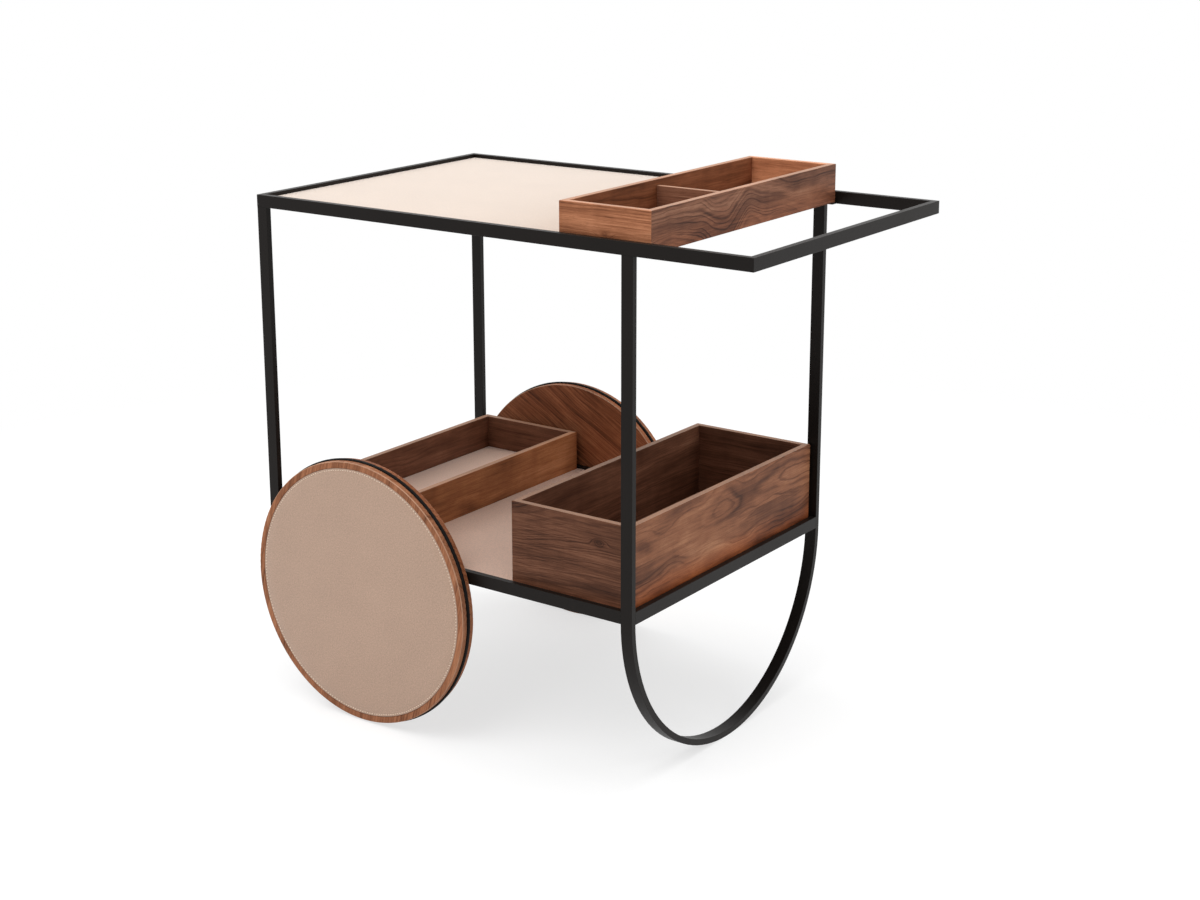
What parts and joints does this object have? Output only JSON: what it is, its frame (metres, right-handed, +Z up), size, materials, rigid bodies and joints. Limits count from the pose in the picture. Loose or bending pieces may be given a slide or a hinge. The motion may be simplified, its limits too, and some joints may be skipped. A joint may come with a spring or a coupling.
{
  "type": "serving trolley",
  "caption": "Serving trolley: flat-bar frame with loop handle and bent U leg, large disc wheels with leather inlay, leather top and shelf, lift-out walnut trays and box.",
  "frame": {"origin": "middle of the footprint on the floor", "axes": "+X to the handle, +Y to the right of a person standing at the handle, +Z up"},
  "size_m": [0.936, 0.614, 0.895],
  "materials": {
    "powder_coat": "fine matt black powder coat",
    "leather": "fine-grained beige hide, saddle stitched",
    "walnut": "oiled walnut, satin",
    "tyre": "matt black rubber",
    "board": "black stained plywood",
    "steel": "zinc plated, brushed"
  },
  "bodies": {
    "frame": {"axle": "steel", "axle_bolts": "steel", "axle_bracket_left": "powder_coat", "axle_bracket_right": "powder_coat", "axle_washers": "steel", "board_screws": "steel", "handle_bar": "powder_coat", "lower_cross_bar_leg": "powder_coat", "lower_cross_bar_wheel": "powder_coat", "lower_end_bar": "powder_coat", "lower_ledge_left": "powder_coat", "lower_ledge_right": "powder_coat", "lower_leg_bar": "powder_coat", "lower_rail_left": "powder_coat", "lower_rail_right": "powder_coat", "shelf_board": "board", "shelf_leather": "leather", "top_board": "board", "top_cross_bar": "powder_coat", "top_end_bar": "powder_coat", "top_leather": "leather", "top_ledge_left": "powder_coat", "top_ledge_right": "powder_coat", "top_rail_left": "powder_coat", "top_rail_right": "powder_coat", "u_leg": "powder_coat", "wheel_post_left": "powder_coat", "wheel_post_right": "powder_coat"},
    "wheel_left": {"wheel_bearings_left": "steel", "wheel_hub_left": "steel", "wheel_hub_screws_left": "steel", "wheel_inner_disc_left": "walnut", "wheel_leather_left": "leather", "wheel_outer_disc_left": "walnut", "wheel_tyre_left": "tyre"},
    "wheel_right": {"wheel_bearings_right": "steel", "wheel_hub_right": "steel", "wheel_hub_screws_right": "steel", "wheel_inner_disc_right": "walnut", "wheel_leather_right": "leather", "wheel_outer_disc_right": "walnut", "wheel_tyre_right": "tyre"},
    "cutlery_tray": {"cutlery_tray_bottom": "walnut", "cutlery_tray_divider": "walnut", "cutlery_tray_handle_side": "walnut", "cutlery_tray_left_end": "walnut", "cutlery_tray_right_end": "walnut", "cutlery_tray_wheel_side": "walnut"},
    "glass_tray": {"glass_tray_bottom": "walnut", "glass_tray_handle_side": "walnut", "glass_tray_leather": "leather", "glass_tray_left_end": "walnut", "glass_tray_right_end": "walnut", "glass_tray_wheel_side": "walnut"},
    "tall_box": {"tall_box_bottom": "walnut", "tall_box_handle_side": "walnut", "tall_box_left_end": "walnut", "tall_box_right_end": "walnut", "tall_box_wheel_side": "walnut"}
  },
  "joints": [
    {"name": "wheel_left_spin", "type": "hinge", "parent": "frame", "child": "wheel_left", "pos_m": [-0.246, 0, 0.222], "axis": [0, 1, 0], "continuous": true},
    {"name": "wheel_right_spin", "type": "hinge", "parent": "frame", "child": "wheel_right", "pos_m": [-0.246, 0, 0.222], "axis": [0, 1, 0], "continuous": true},
    {"name": "cutlery_tray_lift", "type": "slide", "parent": "frame", "child": "cutlery_tray", "axis": [0, 0, 1], "range_m": [0, 0.12]},
    {"name": "glass_tray_lift", "type": "slide", "parent": "frame", "child": "glass_tray", "axis": [0, 0, 1], "range_m": [0, 0.2]},
    {"name": "tall_box_lift", "type": "slide", "parent": "frame", "child": "tall_box", "axis": [0, 0, 1], "range_m": [0, 0.2]}
  ]
}
